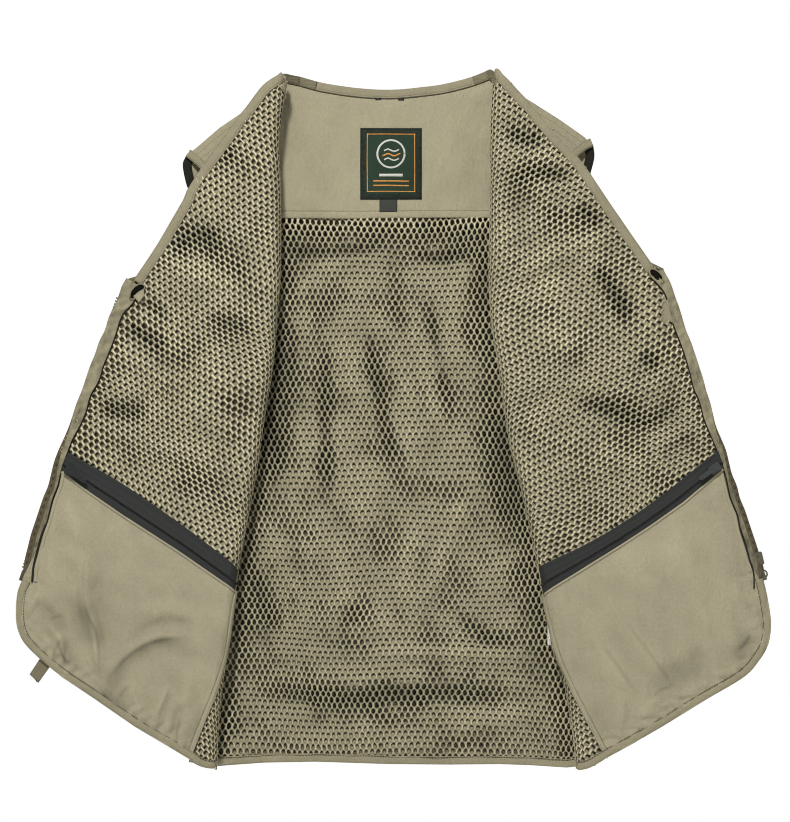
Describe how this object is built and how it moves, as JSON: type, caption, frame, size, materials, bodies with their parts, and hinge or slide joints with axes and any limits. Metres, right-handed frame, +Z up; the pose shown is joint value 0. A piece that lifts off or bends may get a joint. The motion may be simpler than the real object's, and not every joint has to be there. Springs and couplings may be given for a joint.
{
  "type": "fishing vest",
  "caption": "Sleeveless fishing vest with mesh lining, shown open with both fronts folded outwards, slanting inner zip pockets and a front zip.",
  "frame": {"origin": "centre-back neck seam, where the hanging loop is sewn in", "axes": "+Z up along the wearer's spine, +X towards the wearer's left, +Y out of the wearer's back; the folded-back fronts lie on the -Y side"},
  "size_m": [0.7555, 0.0617, 0.7005],
  "materials": {
    "khaki_fabric": "matte woven, light khaki",
    "mesh_fabric": "open hexagonal knit, satin yarn",
    "binding_fabric": "matte woven tape, stitched",
    "black_tape": "black woven zip tape",
    "black_plastic": "moulded, matt",
    "dark_metal": "gunmetal, satin",
    "khaki_tape": "woven zip tape",
    "khaki_plastic": "moulded teeth",
    "label_green": "woven damask label",
    "label_grey": "woven satin tab",
    "label_white": "printed satin, blank"
  },
  "bodies": {
    "vest_body": {"back_shell": "khaki_fabric", "back_yoke_lining": "khaki_fabric", "back_mesh_lining": "mesh_fabric", "neck_binding": "binding_fabric", "back_hem_binding": "binding_fabric", "armhole_binding_right": "binding_fabric", "armhole_binding_left": "binding_fabric", "side_front_right": "khaki_fabric", "side_front_left": "khaki_fabric", "side_lining_right": "mesh_fabric", "side_lining_left": "mesh_fabric", "woven_label": "label_green", "size_tab": "label_grey", "care_label": "label_white", "back_pocket": "khaki_fabric", "back_pocket_zip": "black_tape"},
    "front_right": {"front_shell_right": "khaki_fabric", "front_mesh_right": "mesh_fabric", "inner_pocket_right": "khaki_fabric", "inner_zip_tape_right": "black_tape", "inner_zip_coil_right": "black_tape", "neck_edge_binding_right": "binding_fabric", "front_hem_binding_right": "binding_fabric", "zip_facing_right": "khaki_fabric", "main_zip_tape_right": "khaki_tape", "main_zip_teeth_right": "khaki_plastic", "chest_pocket_right": "khaki_fabric", "chest_zip_right": "black_tape", "cargo_pocket_right": "khaki_fabric", "main_zip_pin": "black_plastic"},
    "inner_slider_right": {"inner_slider_right": "dark_metal"},
    "inner_pull_right": {"inner_pull_right": "dark_metal"},
    "chest_slider_right": {"chest_slider_right": "dark_metal"},
    "cargo_lid_right": {"cargo_lid_right": "khaki_fabric", "cargo_stud_right": "dark_metal"},
    "front_left": {"front_shell_left": "khaki_fabric", "front_mesh_left": "mesh_fabric", "inner_pocket_left": "khaki_fabric", "inner_zip_tape_left": "black_tape", "inner_zip_coil_left": "black_tape", "neck_edge_binding_left": "binding_fabric", "front_hem_binding_left": "binding_fabric", "zip_facing_left": "khaki_fabric", "main_zip_tape_left": "khaki_tape", "main_zip_teeth_left": "khaki_plastic", "chest_pocket_left": "khaki_fabric", "chest_zip_left": "black_tape", "cargo_pocket_left": "khaki_fabric", "main_zip_box": "black_plastic"},
    "inner_slider_left": {"inner_slider_left": "dark_metal"},
    "inner_pull_left": {"inner_pull_left": "dark_metal"},
    "chest_slider_left": {"chest_slider_left": "dark_metal"},
    "cargo_lid_left": {"cargo_lid_left": "khaki_fabric", "cargo_stud_left": "dark_metal"},
    "main_slider": {"main_slider": "dark_metal"},
    "main_pull": {"main_pull": "dark_metal"},
    "hanger_loop": {"hanger_loop": "binding_fabric"},
    "hem_loop_right": {"hem_loop_right": "binding_fabric"},
    "back_pocket_slider": {"back_pocket_slider": "dark_metal"},
    "back_pocket_pull": {"back_pocket_pull": "dark_metal"}
  },
  "joints": [
    {"name": "front_right_fold", "type": "hinge", "parent": "vest_body", "child": "front_right", "pos_m": [-0.151, -0.0465, -0.32], "axis": [0.1462, 0, 0.9892], "range_deg": [0, 150]},
    {"name": "inner_slider_right_slide", "type": "slide", "parent": "front_right", "child": "inner_slider_right", "axis": [0.8326, 0, -0.5539], "range_m": [0, 0.163]},
    {"name": "inner_pull_right_swing", "type": "hinge", "parent": "inner_slider_right", "child": "inner_pull_right", "pos_m": [-0.32157, -0.0492, -0.37121], "axis": [-0.5539, 0, -0.8326], "range_deg": [0, 150]},
    {"name": "chest_slider_right_slide", "type": "slide", "parent": "front_right", "child": "chest_slider_right", "axis": [0.9441, 0, -0.3298], "range_m": [0, 0.06]},
    {"name": "cargo_lid_right_swing", "type": "hinge", "parent": "front_right", "child": "cargo_lid_right", "pos_m": [-0.27192, -0.0222, -0.40634], "axis": [0.9441, 0, -0.3298], "range_deg": [0, 100]},
    {"name": "front_left_fold", "type": "hinge", "parent": "vest_body", "child": "front_left", "pos_m": [0.151, -0.0465, -0.32], "axis": [0.1462, 0, -0.9892], "range_deg": [0, 150]},
    {"name": "inner_slider_left_slide", "type": "slide", "parent": "front_left", "child": "inner_slider_left", "axis": [-0.8238, 0, -0.5669], "range_m": [0, 0.166]},
    {"name": "inner_pull_left_swing", "type": "hinge", "parent": "inner_slider_left", "child": "inner_pull_left", "pos_m": [0.32279, -0.0492, -0.36791], "axis": [-0.5669, 0, 0.8238], "range_deg": [0, 150]},
    {"name": "chest_slider_left_slide", "type": "slide", "parent": "front_left", "child": "chest_slider_left", "axis": [-0.9441, 0, -0.3298], "range_m": [0, 0.06]},
    {"name": "cargo_lid_left_swing", "type": "hinge", "parent": "front_left", "child": "cargo_lid_left", "pos_m": [0.27192, -0.0222, -0.40634], "axis": [0.9441, 0, 0.3298], "range_deg": [0, 100]},
    {"name": "main_slider_slide", "type": "slide", "parent": "front_left", "child": "main_slider", "axis": [-0.3298, 0, 0.9441], "range_m": [0, 0.262]},
    {"name": "main_pull_swing", "type": "hinge", "parent": "main_slider", "child": "main_pull", "pos_m": [0.36639, -0.0336, -0.45967], "axis": [0.9441, 0, 0.3298], "range_deg": [0, 60]},
    {"name": "hanger_loop_swing", "type": "hinge", "parent": "vest_body", "child": "hanger_loop", "pos_m": [0, 0.0062, -0.0005], "axis": [1, 0, 0], "range_deg": [0, 175]},
    {"name": "hem_loop_right_swing", "type": "hinge", "parent": "front_right", "child": "hem_loop_right", "pos_m": [-0.349, -0.0376, -0.5655], "axis": [-0.8321, 0, 0.5547], "range_deg": [-70, 70]},
    {"name": "back_pocket_slider_slide", "type": "slide", "parent": "vest_body", "child": "back_pocket_slider", "axis": [1, 0, 0], "range_m": [0, 0.27]},
    {"name": "back_pocket_pull_swing", "type": "hinge", "parent": "back_pocket_slider", "child": "back_pocket_pull", "pos_m": [-0.142, 0.013, -0.316], "axis": [0, 0, 1], "range_deg": [0, 150]}
  ]
}
